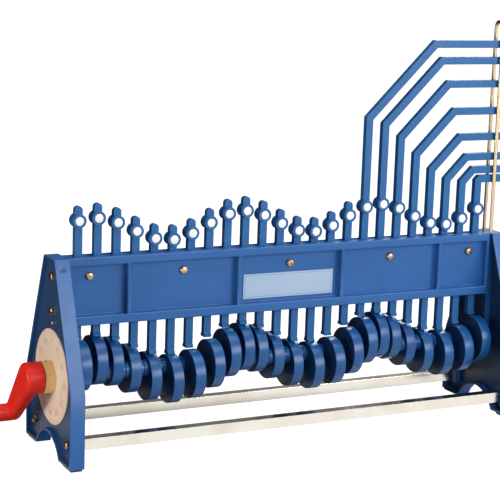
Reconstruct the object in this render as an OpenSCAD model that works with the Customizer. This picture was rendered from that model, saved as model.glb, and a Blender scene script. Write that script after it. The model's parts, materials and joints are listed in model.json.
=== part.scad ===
// Hand-cranked wave demonstrator: upright rods ride on a row of eccentric cams, each turned
// a step further than the last, so their heads draw a travelling wave. The last rods are bent
// over to the right, where their level bars bunch and spread as a longitudinal wave.
// Frame: X along the shaft, Y front to back, Z up from the table. The origin is on the table,
// under the middle of the whole part from the grip to the ends of the level bars.

/* [Row of rods] */
// Distance between neighbouring rods and cams
pitch = 25; // [24.5:0.5:28]
// Number of rods that end in a head
straight_count = 16; // [8:1:16]
// Number of rods that bend over to the right
bent_count = 8; // [4:1:8]
// Rods in one wavelength
rods_per_wave = 8; // [6:1:10]
// Place of the first crest, in rods after the first
first_crest = 0.78; // [0:0.01:4]

/* [End plates] */
// Thickness of an end plate along the shaft
plate_t = 18.5; // [17.5:0.5:24]
// Shaft centre to the top of an end plate
plate_rise = 148.5; // [144:0.5:170]
// Half width of an end plate at its feet
plate_half_base = 81; // [78:1:90]
// Half width of an end plate at its top
plate_half_top = 19; // [18:1:26]
// Height of the straight lower sides
side_h = 90; // [80:1:100]
// Wall thickness of the rim
rim_w = 3.2; // [2.4:0.2:4]
// Depth of the outer tray
tray_depth = 5.5; // [5:0.5:7]
// Wall around a shaft bush
bearing_wall = 7; // [5:0.5:9]
// Margin of the tie bar seats around the bars
tie_margin = 3; // [2:0.5:5]
// Thickness of the web between tray and inner pockets
web_t = 5; // [3:0.5:6]
// Half width of the arch between the feet
arch_half = 40; // [34:1:44]
// Height of the arch
arch_rise = 25; // [18:1:28]
// Width of the upright spine inside the plate
spine_w = 26; // [24:1:30]
// Thickness of the rubber foot pads
pad_h = 3; // [2:0.5:5]
// Length of a foot pad, front to back
pad_len = 28; // [20:1:30]

/* [Shaft and cams] */
// Height of the shaft above the table
shaft_h = 97.5; // [92:0.5:120]
// Shaft diameter
shaft_d = 8; // [6:0.5:9]
// Outer diameter of the shaft bushes
bush_d = 16; // [14:0.5:18]
// Cam disc diameter
cam_d = 62; // [56:1:64]
// Cam disc thickness
cam_t = 14.5; // [11:0.5:16]
// Distance of the cam centre from the shaft
throw = 16; // [14:0.5:17.5]
// Diameter of the spacer hubs between the discs
hub_d = 21; // [20:0.5:21.5]
// Diameter of the index pins that lock each cam to the next
index_pin_d = 3; // [2:0.5:3]
// Length of an index pin beyond its own cam
index_reach = 4; // [3:0.5:4.5]
// Width of the collars at the ends of the cam stack
collar_w = 4.6; // [4.2:0.1:8]

/* [Rods] */
// Rod width along the shaft
rod_w = 10; // [8:0.5:11]
// Rod depth, front to back
rod_t = 8; // [6:0.2:8.4]
// Space between the guide box and the lowest head
head_gap = 5.25; // [1:0.25:30]
// Head diameter
head_d = 17.5; // [15:0.5:19]
// Head depth, front to back
head_t = 15; // [11:0.5:17]
// Height of the rounded nub above the head centre
nub_rise = 18; // [15:0.5:22]
// Diameter of the recess for the marker dot
marker_d = 11.5; // [8:0.5:13]
// Depth of the recess for the marker dot
marker_depth = 1; // [0.5:0.1:2]
// Width of the foot that rides on the cam, front to back
foot_w = 12; // [10:0.5:20]
// Height of the straight part of the foot
foot_h = 3; // [2:0.5:5]

/* [Bent rods] */
// Heads to the lowest level bar, centre to centre
stack_rise = 40.8; // [30:0.2:70]
// Distance between neighbouring level bars at mid stroke
stack_step = 24.5; // [23:0.5:28]
// Size of the slanted corner on the last rod
last_corner = 3; // [3:0.5:5]
// How much larger the slanted corner of each earlier rod is
corner_step = 13.3; // [12:0.1:14]
// Length of the level bars beyond the guide
bar_past_guide = 15; // [10:1:30]

/* [Guide box] */
// Height of the guide box
box_h = 84.5; // [80:0.5:94]
// Thickness of the front panel where its fields are sunk
field_wall = 1.8; // [1.5:0.1:3]
// Thickness of the rear panel
rear_wall = 1.9; // [1.5:0.1:3]
// Thickness of the comb spine behind the rods
comb_spine = 1.7; // [1.4:0.1:2]
// Height of a guide comb
comb_h = 8; // [6:0.5:12]
// Depth of the combs below the rims of the box
comb_drop = 2; // [1:0.5:4]
// Height of the raised top rail
top_rail = 10.5; // [6:0.5:14]
// Height of the raised bottom rail
bottom_rail = 11.5; // [8:0.5:16]
// How far the rails and ribs stand out from the sunk fields
rail_relief = 10; // [6:0.5:11]
// Width of the upright ribs
rib_w = 4.8; // [3:0.2:6]
// Wall around a panel screw in its post
post_wall = 2.5; // [1.5:0.5:2.5]
// Thickness of the end blocks behind the front panel
end_block = 10; // [8:0.5:12]
// Width of the label plate
label_w = 130; // [100:1:136]
// Height of the label plate
label_h = 32; // [25:1:36]
// Thickness of the label plate
label_t = 0.8; // [0.5:0.1:1.2]
// Height of the label's middle above the bottom of the box
label_rise = 32; // [28:0.5:38]

/* [Bars and guide] */
// Size of the square tie bars
tie_size = 14; // [12:0.5:15]
// Tie bar centres in front of and behind the shaft
tie_y = 58.5; // [57:0.5:62]
// Height of the tie bar centres above the table
tie_h = 28; // [26:0.5:34]
// Diameter of the brass guide wire
guide_d = 5; // [4:0.5:5]
// Distance between the two legs of the guide
guide_gap = 16; // [14.5:0.5:18]
// Highest place of the top level bar to the top of the guide
guide_rise = 24.75; // [12:0.25:60]
// Inner face of the right end plate to the guide
guide_inset = 5; // [4:0.5:6]
// Depth of the guide legs in the end plate
guide_seat = 25; // [15:1:30]

/* [Dial and crank] */
// Dial diameter
dial_d = 118; // [104:1:122]
// Dial thickness
dial_t = 1.5; // [1:0.5:3]
// Diameter of the brass crank hub
crank_hub_d = 40; // [34:1:42]
// Length of the brass crank hub
crank_hub_len = 13; // [10:0.5:18]
// Length of the crank boss
boss_len = 23; // [18:1:28]
// Shaft centre to grip centre
crank_arm = 68; // [55:1:72]
// Angle of the crank arm below the horizontal, at the back
crank_angle = 51; // [0:1:90]
// Diameter of the grip
grip_d = 22; // [18:0.5:24]
// Length of the grip
grip_len = 80; // [60:1:95]

/* [Fasteners] */
// Diameter of the machine screws
screw_d = 5; // [4:0.5:6]
// Diameter of the screw heads
screw_head_d = 10.2; // [7:0.2:11]
// Height of the screw heads
screw_head_h = 5; // [3:0.5:5]
// Width of the slot in a screw head
screw_slot = 1.2; // [0.8:0.1:1.6]
// Panel screws below the top of the box
panel_screw_drop = 24.5; // [18:0.5:30]
// Panel screws to the right of the middle of their gap
panel_screw_shift = 1; // [0:0.5:1]
// Lower end plate screw above the bottom of the box
box_screw_rise = 18.5; // [10:0.5:30]
// Upper end plate screw below the top of the box
box_screw_drop = 23.5; // [16:0.5:34]
// Length of screw in the piece that it holds
screw_bite = 9; // [6:0.5:9]
// Diameter of the grub screws
grub_d = 3; // [2:0.5:3]

/* [Clearances] */
// Clearance around the shaft and the index pins
running_gap = 0.05; // [0.02:0.01:0.1]
// Clearance of a rod in its guide slot, each side
slot_gap = 0.2; // [0.1:0.05:0.3]
// Clearance between a cam and the foot above it
foot_gap = 0.3; // [0.2:0.05:0.5]
// Side play of the cam stack at each end plate
side_play = 0.35; // [0.3:0.05:0.8]
// Clearance of screws, and of parts that stand beside each other
fit_gap = 0.1; // [0.05:0.05:0.2]

/* [Hidden] */
$fn = 64;
eps = 0.01;
rod_count = straight_count + bent_count;
hub_len = pitch - fit_gap;
end_margin = hub_len / 2 + fit_gap + collar_w + side_play + plate_t;
body_len = 2 * end_margin + (rod_count - 1) * pitch;
x_left = -body_len / 2;
x_inner = body_len / 2 - plate_t;
inner_len = 2 * x_inner;
plate_base = pad_h;
plate_top = shaft_h + plate_rise;
plate_h = plate_top - plate_base;
slant_tan = (plate_half_base - plate_half_top) / (plate_h - side_h);
slant_angle = atan(slant_tan);
arch_r = (arch_half * arch_half + arch_rise * arch_rise) / (2 * arch_rise);
arch_z = arch_rise - arch_r;
bearing_d = bush_d + 2 * bearing_wall;
tie_pad = tie_size + 2 * tie_margin;
box_top = plate_top;
box_bottom = box_top - box_h;
slot_half = rod_t / 2 + slot_gap;
head_h = box_top + head_gap + head_d / 2 + throw;
stack_base = head_h + stack_rise;
box_front = slot_half + field_wall + rail_relief;
field_front = -slot_half - field_wall;
box_back = slot_half + comb_spine + rear_wall;
box_screw_z = [box_bottom + box_screw_rise, box_top - box_screw_drop];
panel_screw_z = box_top - panel_screw_drop;
label_z = box_bottom + label_rise;
post_d = screw_d + 2 * post_wall;
rib_every = 6;
first_rib = 2.5;
stack_end = (rod_count - 1) / 2 * pitch + hub_len / 2;
collar_start = stack_end + fit_gap;
foot_z = shaft_h + cam_d / 2 + foot_gap;
guide_x = x_inner + guide_inset;
guide_top = stack_base + stack_step * (bent_count - 1) + throw + rod_w / 2 + guide_rise;
guide_bend_z = guide_top - (guide_gap + guide_d) / 2;
bar_end = guide_x + bar_past_guide;
dial_back = tray_depth;
dial_face = tray_depth - dial_t;
hub_back = dial_face - side_play;
hub_front = hub_back - crank_hub_len;
boss_front = hub_front - boss_len;
grip_y = crank_arm * cos(crank_angle);
grip_z = shaft_h - crank_arm * sin(crank_angle);
shaft_cover = 5;
shaft_stub = 4;
shaft_start = boss_front + shaft_cover;
shaft_right = body_len - tray_depth + shaft_stub;
grip_end = x_left + boss_front - grip_len - grip_d / 2;
origin_x = (grip_end + bar_end) / 2;
blue = [0.06, 0.22, 0.52];
brass = [0.78, 0.62, 0.30];
steel = [0.70, 0.71, 0.73];

GROUPS = [for (k = [1:rods_per_wave]) k];
STRAIGHT = [for (i = [1:straight_count]) i];
BENT = [for (i = [straight_count + 1:rod_count]) i];
function two(n) = str(n < 10 ? "0" : "", n);
FRAME_NODES = ["left_end_plate", "right_end_plate", "foot_pads", "front_panel", "rear_panel", "top_comb",
    "bottom_comb", "panel_screws", "end_plate_screws", "label_plate", "front_tie_bar", "rear_tie_bar",
    "brass_guide", "shaft_bushes", "phase_dial"];
SHAFT_NODES = ["cam_shaft", "end_collars", "crank_hub", "grub_screws", "crank_handle"];

// Rods are numbered from 1 at the crank end.
function rod_x(i) = x_left + end_margin + (i - 1) * pitch;
// Angle of cam i from upright, turned towards the back.
function cam_angle(i) = 360 / rods_per_wave * (i - 1 - first_crest);
function cam_y(i) = throw * sin(cam_angle(i));
function cam_z(i) = throw * cos(cam_angle(i));
// Rods k, k + rods_per_wave, ... move together.
function same_phase(k) = [for (i = [k:rods_per_wave:rod_count]) i];
function panel_screw_xs() = [for (g = [1.5, 6.5, 12.5, 18.5, rod_count - 0.5]) rod_x(g) + panel_screw_shift];
// Half width of an end plate, inset by w, at height z above its base.
function plate_half(z, w) = plate_half_base - w - max(0, z - kink_z(w)) * slant_tan;
function kink_z(w) = side_h - w * tan(slant_angle / 2);

// A bar along +X with its axis at (y, z).
module along_x(x, y, z, d, len) {
    translate([x, y, z]) rotate([0, 90, 0]) cylinder(d = d, h = len);
}

// A bar along +Y with its axis at (x, z).
module along_y(x, y, z, d, len) {
    translate([x, y, z]) rotate([-90, 0, 0]) cylinder(d = d, h = len);
}

// Upright outline in the Y-Z plane, made solid along +X from x.
module upright(x, len) {
    translate([x, 0, 0]) rotate([90, 0, 90]) linear_extrude(len) children();
}

module plate_outline(w) {
    top = plate_h - w;
    polygon([
        [-plate_half(w, w), w], [plate_half(w, w), w],
        [plate_half(w, w), kink_z(w)], [plate_half(top, w), top],
        [-plate_half(top, w), top], [-plate_half(w, w), kink_z(w)]
    ]);
}

// Head at x = 0 pointing to -X, shank along +X.
module screw(len) {
    cylinder_head(screw_head_d, screw_head_h);
    along_x(-eps, 0, 0, screw_d, len + eps);
}

module cylinder_head(d, h) {
    dome = h * 0.4;
    flat_d = d * 0.7;
    slot_depth = h * 0.35;
    difference() {
        union() {
            along_x(-(h - dome), 0, 0, d, h - dome);
            translate([-(h - dome) + eps, 0, 0]) rotate([0, -90, 0]) cylinder(d1 = d, d2 = flat_d, h = dome);
        }
        translate([-h - eps, -d, -screw_slot / 2]) cube([slot_depth, 2 * d, screw_slot]);
    }
}

// Left end plate with its outer face at x = 0; the right one is its mirror image.
module end_plate() {
    web_back = tray_depth + web_t;
    difference() {
        upright(0, plate_t) plate_outline(0);
        // outer tray
        difference() {
            upright(-eps, tray_depth + eps) plate_outline(rim_w);
            along_x(-1, 0, arch_z, 2 * (arch_r + rim_w), tray_depth + 2);
        }
        // inner pockets, leaving the spine, the bearing boss and the tie bar seats
        difference() {
            upright(web_back, plate_t - web_back + eps) plate_outline(rim_w);
            along_x(web_back - 1, 0, arch_z, 2 * (arch_r + rim_w), plate_t);
            translate([web_back - 1, -spine_w / 2, shaft_h - plate_base])
                cube([plate_t, spine_w, plate_h]);
            along_x(web_back - 1, 0, shaft_h - plate_base, bearing_d, plate_t);
            for (side = [-1, 1])
                translate([web_back - 1, side * tie_y - tie_pad / 2, tie_h - plate_base - tie_pad / 2])
                    cube([plate_t, tie_pad, tie_pad]);
        }
        along_x(-1, 0, arch_z, 2 * arch_r, plate_t + 2);
        along_x(0, 0, shaft_h - plate_base, bush_d, plate_t + 1);
        for (side = [-1, 1])
            along_x(0, side * tie_y, tie_h - plate_base, screw_d + 2 * fit_gap, plate_t + 1);
        for (z = box_screw_z)
            along_x(0, 0, z - plate_base, screw_d + 2 * fit_gap, plate_t + 1);
    }
}

module left_end_plate() {
    color(blue) translate([x_left, 0, plate_base]) end_plate();
}

module right_end_plate() {
    color(blue) difference() {
        translate([-x_left, 0, plate_base]) mirror([1, 0, 0]) end_plate();
        for (side = [-1, 1])
            translate([guide_x, side * guide_gap / 2, plate_top - guide_seat])
                cylinder(d = guide_d + 2 * fit_gap, h = guide_seat + 1);
    }
}

module foot_pads() {
    inset = 2;
    pad_w = plate_t - 2 * inset;
    color("dimgray")
        for (end = [-1, 1], side = [-1, 1])
            translate([end * (-x_left - plate_t / 2) - pad_w / 2,
                    side * (plate_half_base - inset - pad_len / 2) - pad_len / 2, 0])
                cube([pad_w, pad_len, pad_h]);
}

// One wall of the guide box: a plain sheet from y0 to y1.
module box_wall(y0, y1) {
    translate([-x_inner, y0, box_bottom]) cube([inner_len, y1 - y0, box_h]);
}

function rib_xs() = [for (g = [first_rib + 0.5:rib_every:rod_count]) rod_x(g) + pitch / 2];

module front_panel() {
    field_h = box_h - top_rail - bottom_rail;
    color(blue) difference() {
        box_wall(-box_front, -slot_half);
        // sunk fields between the rails and ribs
        difference() {
            translate([-x_inner + rib_w, -box_front - 1, box_bottom + bottom_rail])
                cube([inner_len - 2 * rib_w, rail_relief + 1, field_h]);
            for (x = rib_xs())
                translate([x - rib_w / 2, -box_front - 2, box_bottom]) cube([rib_w, box_front + 2, box_h]);
        }
        for (x = panel_screw_xs())
            along_y(x, -box_front - 1, panel_screw_z, screw_d + 2 * fit_gap, box_front + 1);
    }
}

// The rear panel carries the end blocks and the screw posts.
module rear_panel() {
    wall_front = slot_half + comb_spine;
    color(blue) difference() {
        union() {
            box_wall(wall_front, box_back);
            for (side = [-1, 1])
                translate([side * (x_inner - end_block / 2) - end_block / 2, -slot_half, box_bottom])
                    cube([end_block, slot_half + wall_front + eps, box_h]);
            for (x = panel_screw_xs())
                along_y(x, -slot_half, panel_screw_z, post_d, slot_half + wall_front + eps);
        }
        for (x = panel_screw_xs())
            along_y(x, -slot_half - 1, panel_screw_z, screw_d, screw_bite + 1);
        for (side = [-1, 1], z = box_screw_z)
            along_x(side * x_inner - (screw_bite + 1), 0, z, screw_d, 2 * (screw_bite + 1));
    }
}

// A comb at height z: a spine with a tooth between each pair of rods.
module comb(z) {
    half = x_inner - end_block - fit_gap;
    color(blue) difference() {
        translate([-half, -slot_half, z]) cube([2 * half, 2 * slot_half + comb_spine, comb_h]);
        for (i = [1:rod_count])
            translate([rod_x(i) - rod_w / 2 - slot_gap, -slot_half - 1, z - 1])
                cube([rod_w + 2 * slot_gap, 2 * slot_half + 1, comb_h + 2]);
    }
}

module top_comb() comb(box_top - comb_drop - comb_h);

module bottom_comb() comb(box_bottom + comb_drop);

module panel_screws() {
    color(brass)
        for (x = panel_screw_xs())
            translate([x, field_front, panel_screw_z]) rotate([0, 0, 90])
                screw(screw_bite - slot_half - field_front - 1);
}

// Screws through the webs into the guide box and the tie bars.
module end_plate_screws() {
    shank = plate_t - tray_depth + screw_bite;
    color(brass)
        for (end = [0, 1]) mirror([end, 0, 0]) {
            for (z = box_screw_z)
                translate([x_left + tray_depth, 0, z]) screw(shank);
            for (side = [-1, 1])
                translate([x_left + tray_depth, side * tie_y, tie_h]) screw(shank);
        }
}

module label_plate() {
    color([0.80, 0.88, 0.94])
        translate([-label_w / 2, field_front - label_t, label_z - label_h / 2])
            cube([label_w, label_t, label_h]);
}

module tie_bar(side) {
    color(brass) difference() {
        translate([-x_inner, side * tie_y - tie_size / 2, tie_h - tie_size / 2])
            cube([inner_len, tie_size, tie_size]);
        for (end = [-1, 1])
            along_x(end * x_inner - (screw_bite + 1), side * tie_y, tie_h, screw_d, 2 * (screw_bite + 1));
    }
}

module front_tie_bar() tie_bar(-1);

module rear_tie_bar() tie_bar(1);

// Wire hairpin that keeps the level bars in one plane.
module brass_guide() {
    color(brass) translate([guide_x, 0, 0]) {
        for (side = [-1, 1])
            translate([0, side * guide_gap / 2, plate_top - guide_seat])
                cylinder(d = guide_d, h = guide_bend_z - plate_top + guide_seat);
        translate([0, 0, guide_bend_z]) rotate([90, 0, 90])
            rotate_extrude(angle = 180) translate([guide_gap / 2, 0]) circle(d = guide_d);
    }
}

// Plain bushes pressed into the bearing bosses.
module shaft_bushes() {
    color(brass)
        for (end = [0, 1]) mirror([end, 0, 0]) difference() {
            along_x(x_left + tray_depth, 0, shaft_h, bush_d, plate_t - tray_depth);
            along_x(x_left, 0, shaft_h, shaft_d + 2 * running_gap, 2 * plate_t);
        }
}

module phase_dial() {
    color([0.93, 0.86, 0.79]) difference() {
        along_x(x_left + dial_face, 0, shaft_h, dial_d, dial_t);
        along_x(x_left, 0, shaft_h, shaft_d + 2, plate_t);
    }
}

module cam_shaft() {
    color(steel) along_x(x_left + shaft_start, 0, shaft_h, shaft_d, shaft_right - shaft_start);
}

// A disc centred off the shaft, with half a spacer hub on each side.
module cam(i) {
    y = cam_y(i);
    z = shaft_h + cam_z(i);
    previous = i - 1;
    bite = 1;
    difference() {
        union() {
            along_x(rod_x(i) - cam_t / 2, y, z, cam_d, cam_t);
            for (start = [-hub_len / 2, cam_t / 2 - bite])
                along_x(rod_x(i) + start, 0, shaft_h, hub_d, (hub_len - cam_t) / 2 + bite);
        }
        along_x(rod_x(i) - pitch, 0, shaft_h, shaft_d + 2 * fit_gap, 2 * pitch);
        // hole of its own pin, and the socket for the pin of the cam before it
        index_hole(i);
        if (previous > 0) index_hole(previous);
    }
}

// An index pin stands halfway between the shaft and its cam's centre.
module index_pin(i, gap) {
    x0 = rod_x(i) - cam_t / 2;
    x1 = rod_x(i) + pitch / 2 + index_reach;
    along_x(x0 - gap, cam_y(i) / 2, shaft_h + cam_z(i) / 2, index_pin_d + 2 * gap, x1 - x0 + 2 * gap);
}

module index_hole(i) index_pin(i, running_gap);

module cams(k) {
    color(blue) for (i = same_phase(k)) cam(i);
}

module index_pins(k) {
    color(steel) for (i = same_phase(k)) index_pin(i, 0);
}

// Collars that close the cam stack; the right one takes the last index pin.
module end_collars() {
    color(steel)
        for (end = [0, 1]) difference() {
            mirror([end, 0, 0]) along_x(-collar_start - collar_w, 0, shaft_h, hub_d, collar_w);
            along_x(x_left, 0, shaft_h, shaft_d + 2 * fit_gap, body_len);
            index_hole(rod_count);
            mirror([end, 0, 0]) grub(-collar_start - collar_w / 2, hub_d, fit_gap);
        }
}

// A grub screw from the shaft's top to the outside of a ring of diameter ring_d.
module grub(x, ring_d, gap) {
    translate([x, 0, shaft_h + shaft_d / 2 - (gap > 0 ? 1 : 0)])
        cylinder(d = grub_d + 2 * gap, h = (ring_d - shaft_d) / 2 - (gap > 0 ? -2 : 0.6));
}

module crank_hub() {
    color(brass) translate([x_left, 0, 0]) difference() {
        along_x(hub_front, 0, shaft_h, crank_hub_d, crank_hub_len);
        along_x(hub_front - 1, 0, shaft_h, shaft_d + 2 * fit_gap, crank_hub_len + 2);
        grub(hub_front + crank_hub_len / 2, crank_hub_d, fit_gap);
    }
}

module grub_screws() {
    color("dimgray") {
        for (end = [0, 1]) mirror([end, 0, 0]) grub(-collar_start - collar_w / 2, hub_d, 0);
        grub(x_left + hub_front + crank_hub_len / 2, crank_hub_d, 0);
    }
}

// Boss, swept arm and grip in one moulding.
module crank_handle() {
    bevel = 3;
    arm_w = boss_len * 0.7;
    grip_x = boss_front - grip_len;
    color([0.80, 0.07, 0.05]) translate([x_left, 0, 0]) difference() {
        union() {
            along_x(boss_front + bevel, 0, shaft_h, crank_hub_d, boss_len - bevel - fit_gap);
            hull() {
                along_x(boss_front, 0, shaft_h, crank_hub_d - 2 * bevel, arm_w, $fn = 32);
                along_x(boss_front + bevel, 0, shaft_h, crank_hub_d, arm_w - 2 * bevel, $fn = 32);
                translate([boss_front + bevel, grip_y, grip_z]) sphere(d = grip_d, $fn = 32);
            }
            along_x(grip_x, grip_y, grip_z, grip_d, boss_front - grip_x);
            translate([grip_x, grip_y, grip_z]) sphere(d = grip_d);
        }
        along_x(shaft_start - fit_gap, 0, shaft_h, shaft_d + 2 * fit_gap, boss_len * 2);
    }
}

// Foot outline in the Y-Z plane, flat where it rides on the cam.
module foot() {
    half = foot_w / 2;
    slope = half - rod_t / 2;
    upright(-rod_w / 2, rod_w)
        polygon([[-half, 0], [half, 0], [half, foot_h], [rod_t / 2, foot_h + slope],
            [-rod_t / 2, foot_h + slope], [-half, foot_h]]);
}

// Foot, shank up to the head, and head, with the foot's sole at z = 0 and the rod at x = 0.
module rod_base() {
    head_z = head_h - foot_z;
    foot();
    translate([-rod_w / 2, -rod_t / 2, 0]) cube([rod_w, rod_t, head_z]);
    along_y(0, -head_t / 2, head_z, head_d, head_t);
}

module marker_recess() {
    along_y(0, -head_t / 2 - 1, head_h - foot_z, marker_d, 1 + marker_depth);
}

// Lifts a rod onto its cam.
module on_cam(i) {
    color(blue) translate([rod_x(i), 0, foot_z + cam_z(i)]) children();
}

module straight_rod(i) {
    nub_z = head_h - foot_z + nub_rise - rod_w / 2;
    on_cam(i) difference() {
        union() {
            rod_base();
            translate([-rod_w / 2, -rod_t / 2, head_h - foot_z]) cube([rod_w, rod_t, nub_z - head_h + foot_z]);
            along_y(0, -rod_t / 2, nub_z, rod_w, rod_t);
        }
        marker_recess();
    }
}

// The shank goes on up, slants to the right and ends in a level bar.
module bent_rod(i) {
    later = rod_count - i;
    corner = last_corner + corner_step * later;
    bar_z = stack_base - foot_z + stack_step * later;
    bend_z = bar_z - corner;
    half = rod_w / 2;
    mitre = half * tan(22.5);
    on_cam(i) difference() {
        union() {
            rod_base();
            translate([0, rod_t / 2, 0]) rotate([90, 0, 0]) linear_extrude(rod_t)
                polygon([
                    [-half, foot_h], [half, foot_h], [half, bend_z - mitre], [corner + mitre, bar_z - half],
                    [bar_end - rod_x(i), bar_z - half], [bar_end - rod_x(i), bar_z + half],
                    [corner - mitre, bar_z + half], [-half, bend_z + mitre]
                ]);
        }
        marker_recess();
    }
}

// Puts the origin under the middle of the whole part.
module placed() {
    translate([-origin_x, 0, 0]) children();
}

placed() left_end_plate();
placed() right_end_plate();
placed() foot_pads();
placed() front_panel();
placed() rear_panel();
placed() top_comb();
placed() bottom_comb();
placed() panel_screws();
placed() end_plate_screws();
placed() label_plate();
placed() front_tie_bar();
placed() rear_tie_bar();
placed() brass_guide();
placed() shaft_bushes();
placed() phase_dial();
placed() cam_shaft();
placed() end_collars();
placed() crank_hub();
placed() grub_screws();
placed() crank_handle();
for (k = GROUPS) placed() cams(k);
for (k = GROUPS) placed() index_pins(k);
for (i = STRAIGHT) placed() straight_rod(i);
for (i = BENT) placed() bent_rod(i);
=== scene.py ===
import json
import math

import bmesh
import bpy
from mathutils import Matrix, Vector


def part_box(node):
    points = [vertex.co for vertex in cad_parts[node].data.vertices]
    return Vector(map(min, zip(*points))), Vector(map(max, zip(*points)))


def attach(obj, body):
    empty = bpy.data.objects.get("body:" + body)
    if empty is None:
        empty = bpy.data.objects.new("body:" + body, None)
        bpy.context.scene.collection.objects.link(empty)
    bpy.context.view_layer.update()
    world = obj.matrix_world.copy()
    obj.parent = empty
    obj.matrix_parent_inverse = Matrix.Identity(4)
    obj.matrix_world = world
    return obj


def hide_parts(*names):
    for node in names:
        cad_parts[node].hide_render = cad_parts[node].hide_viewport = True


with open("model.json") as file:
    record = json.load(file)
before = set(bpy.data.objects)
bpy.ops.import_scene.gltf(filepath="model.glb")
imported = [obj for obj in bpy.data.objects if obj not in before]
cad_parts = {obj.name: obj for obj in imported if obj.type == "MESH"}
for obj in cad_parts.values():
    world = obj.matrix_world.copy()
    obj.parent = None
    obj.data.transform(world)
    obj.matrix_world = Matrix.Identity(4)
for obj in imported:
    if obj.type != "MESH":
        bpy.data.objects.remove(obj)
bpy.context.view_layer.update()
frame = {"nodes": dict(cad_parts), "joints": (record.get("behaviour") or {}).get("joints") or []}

nodes = frame["nodes"]
mm = 0.001
mergeWithin = {"cad": 0.002 * mm, "own": 0.0001 * mm}  # corners nearer than this become one
print("stage: frame loaded with", len(nodes), "nodes")


def boxCentre(nodeName):
    low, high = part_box(nodeName)
    return (low + high) / 2


def newPiece(name, data):
    piece = bpy.data.objects.new(name, data)
    bpy.context.scene.collection.objects.link(piece)
    return piece


def pieceFrom(bm, name):
    mesh = bpy.data.meshes.new(name)
    bm.to_mesh(mesh)
    bm.free()
    return newPiece(name, mesh)


# The mesh of an object as its modifiers, its curve or its letters leave it.
def plainMesh(piece):
    return bpy.data.meshes.new_from_object(piece.evaluated_get(bpy.context.evaluated_depsgraph_get()))


def applyModifiers(piece):
    mesh = plainMesh(piece)
    piece.modifiers.clear()
    piece.data = mesh


def dress(piece, material):
    piece.data.materials.clear()
    piece.data.materials.append(material)


# Shades a mesh softly, but for the edges that turn by more than the angle, in degrees.
def smoothFaces(mesh, angle=35):
    for name in ("custom_normal", "sharp_face"):
        if name in mesh.attributes:
            mesh.attributes.remove(mesh.attributes[name])
    mesh.shade_smooth()
    mesh.set_sharp_from_angle(angle=math.radians(angle))


# Keeps the shading of the broad faces flat, so that only the rounded edges shade softly.
def flattenBroadFaces(piece):
    weights = piece.modifiers.new("weights", "WEIGHTED_NORMAL")
    weights.mode = "FACE_AREA"
    weights.weight = 100  # the broader faces count for most
    weights.keep_sharp = True
    applyModifiers(piece)


# A copy of a CAD node with its doubled corners merged.
def nodeCopy(nodeName):
    bm = bmesh.new()
    bm.from_mesh(nodes[nodeName].data)
    bmesh.ops.remove_doubles(bm, verts=bm.verts, dist=mergeWithin["cad"])
    return bm


rounding = {"flatWithin": 0.6, "fromAngle": 32, "segments": 2, "profile": 0.6}  # angles in degrees


# A moulded or machined piece: the CAD form with its edges broken by a small radius.
def softened(nodeName, body, finish, radius):
    bm = nodeCopy(nodeName)
    flat, limit = math.radians(rounding["flatWithin"]), math.radians(rounding["fromAngle"])
    bmesh.ops.dissolve_limit(bm, angle_limit=flat, verts=bm.verts, edges=bm.edges)
    edges = [e for e in bm.edges if len(e.link_faces) == 2 and e.calc_face_angle(0) > limit]
    bmesh.ops.bevel(bm, geom=edges, offset=radius, offset_type="OFFSET", segments=rounding["segments"],
                    profile=rounding["profile"], affect="EDGES", clamp_overlap=True, miter_outer="ARC")
    piece = pieceFrom(bm, nodeName + "_softened")
    smoothFaces(piece.data)
    flattenBroadFaces(piece)
    dress(piece, finishes[finish])
    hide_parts(nodeName)
    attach(piece, body)


# Turns a profile of (distance along X, radius) about X; a radius of 0 closes it with a single corner.
def lathe(bm, profile, steps, centre=(0, 0, 0)):
    cx, cy, cz = centre
    rings = []
    for along, radius in profile:
        turns = [2 * math.pi * step / steps for step in range(steps if radius else 1)]
        rings.append([bm.verts.new((cx + along, cy + radius * math.sin(turn), cz + radius * math.cos(turn)))
                      for turn in turns])
    for first, second in zip(rings, rings[1:]):
        for step in range(steps):
            nextStep = (step + 1) % steps
            corners = [first[step % len(first)], second[step % len(second)],
                       second[nextStep % len(second)], first[nextStep % len(first)]]
            whole = list(dict.fromkeys(corners))
            if len(whole) > 2:
                bm.faces.new(whole)


# Points on an arc between two angles, in degrees.
def arcPoints(centre, radius, start, stop, steps):
    points = []
    for step in range(steps + 1):
        turn = math.radians(start + (stop - start) * step / steps)
        points.append((centre[0] + radius * math.cos(turn), centre[1] + radius * math.sin(turn)))
    return points


# Profile points of a low dome, from its rim towards its top, which looks along -X.
def domePoints(rim, rise, radius, angles):
    turns = [math.radians(angle) for angle in angles]
    return [(rim - rise * math.sin(turn), radius * math.cos(turn)) for turn in turns]


def addBlock(bm, centre, size):
    bmesh.ops.create_cube(bm, size=1, matrix=Matrix.Translation(centre) @ Matrix.Diagonal((*size, 1)))


def finishNormals(bm):
    bmesh.ops.remove_doubles(bm, verts=bm.verts, dist=mergeWithin["own"])
    bmesh.ops.recalc_face_normals(bm, faces=bm.faces)


def addNode(tree, kind, settings=None, values=None):
    node = tree.nodes.new(kind)
    for name, value in (settings or {}).items():
        setattr(node, name, value)
    for name, value in (values or {}).items():
        node.inputs[name].default_value = value
    return node


# Gives each socket its value, or a link where the value comes out of another node.
def plug(tree, sockets, values):
    for socket, value in zip(sockets, values):
        if isinstance(value, bpy.types.NodeSocket):
            tree.links.new(value, socket)
        else:
            socket.default_value = value


def maths(tree, operation, *values):
    node = addNode(tree, "ShaderNodeMath", {"operation": operation})
    plug(tree, node.inputs, values)
    return node.outputs[0]


# One number from two vectors: their distance or their dot product.
def vectorMaths(tree, operation, first, second):
    node = addNode(tree, "ShaderNodeVectorMath", {"operation": operation})
    plug(tree, node.inputs, (first, second))
    return node.outputs["Value"]


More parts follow.
